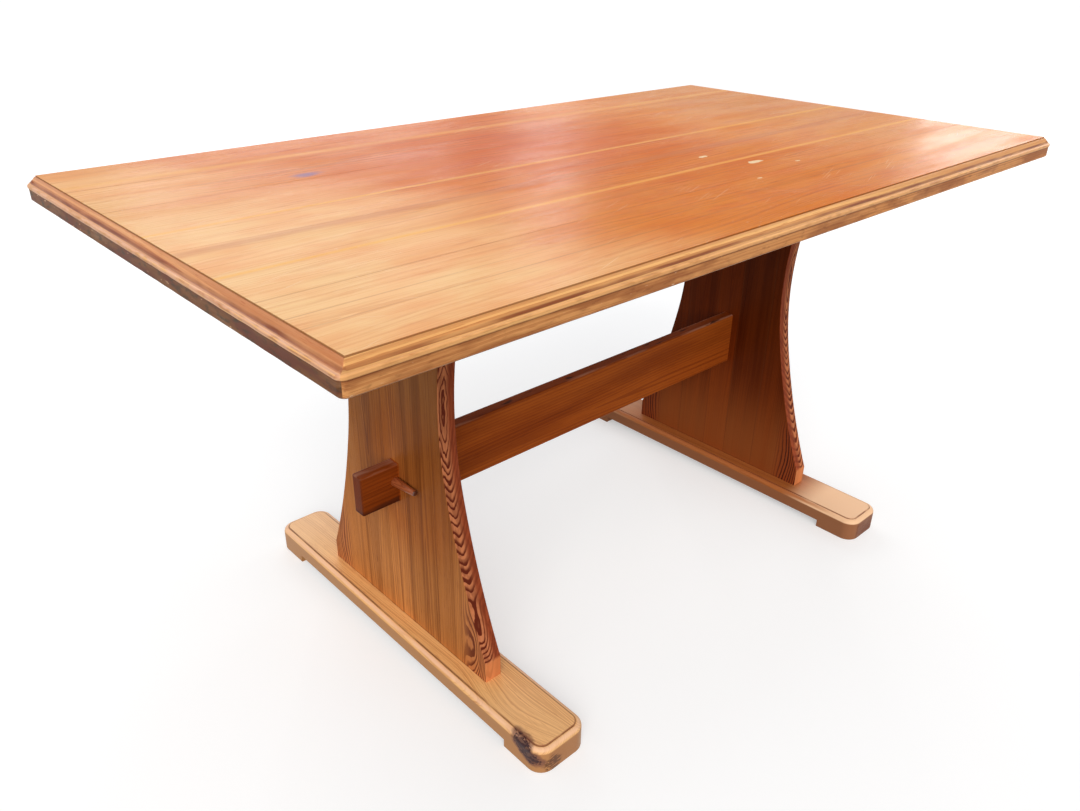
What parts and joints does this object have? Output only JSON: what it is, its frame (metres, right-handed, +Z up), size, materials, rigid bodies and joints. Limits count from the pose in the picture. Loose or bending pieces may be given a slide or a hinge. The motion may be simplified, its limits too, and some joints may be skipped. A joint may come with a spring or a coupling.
{
  "type": "trestle dining table",
  "caption": "Pine trestle dining table with a moulded edge, waisted slab ends in long feet, and a stretcher whose through tenons are held by round pegs.",
  "frame": {"origin": "on the floor, under the middle of the top", "axes": "+X along the length, +Y across the width towards the back, +Z up"},
  "size_m": [1.5, 0.85, 0.75],
  "materials": {
    "top_boards": "aged pine, waxed, satin",
    "edge_moulding": "aged pine, waxed, scuffed",
    "slab_staves": "aged pine, waxed, satin",
    "bearers": "planed pine, unfinished",
    "feet": "aged pine, waxed, satin",
    "rail": "dark aged pine, waxed, worn arrises",
    "pegs": "turned wood, waxed",
    "screws": "plain steel, slotted round head"
  },
  "bodies": {
    "table": {"top_board_1": "top_boards", "top_board_2": "top_boards", "top_board_3": "top_boards", "top_board_4": "top_boards", "top_board_5": "top_boards", "top_board_6": "top_boards", "front_lipping": "edge_moulding", "back_lipping": "edge_moulding", "left_lipping": "edge_moulding", "right_lipping": "edge_moulding", "left_bearer": "bearers", "right_bearer": "bearers", "left_bearer_screws": "screws", "right_bearer_screws": "screws", "left_stave_1": "slab_staves", "left_stave_2": "slab_staves", "left_stave_3": "slab_staves", "left_stave_4": "slab_staves", "left_stave_5": "slab_staves", "right_stave_1": "slab_staves", "right_stave_2": "slab_staves", "right_stave_3": "slab_staves", "right_stave_4": "slab_staves", "right_stave_5": "slab_staves", "left_foot": "feet", "right_foot": "feet", "stretcher": "rail"},
    "left_peg": {"left_peg": "pegs"},
    "right_peg": {"right_peg": "pegs"}
  },
  "joints": [
    {"name": "left_peg_draw", "type": "slide", "parent": "table", "child": "left_peg", "axis": [0, -0.9976, 0.0698], "range_m": [0, 0.04]},
    {"name": "right_peg_draw", "type": "slide", "parent": "table", "child": "right_peg", "axis": [0, -0.9976, 0.0698], "range_m": [0, 0.04]}
  ]
}
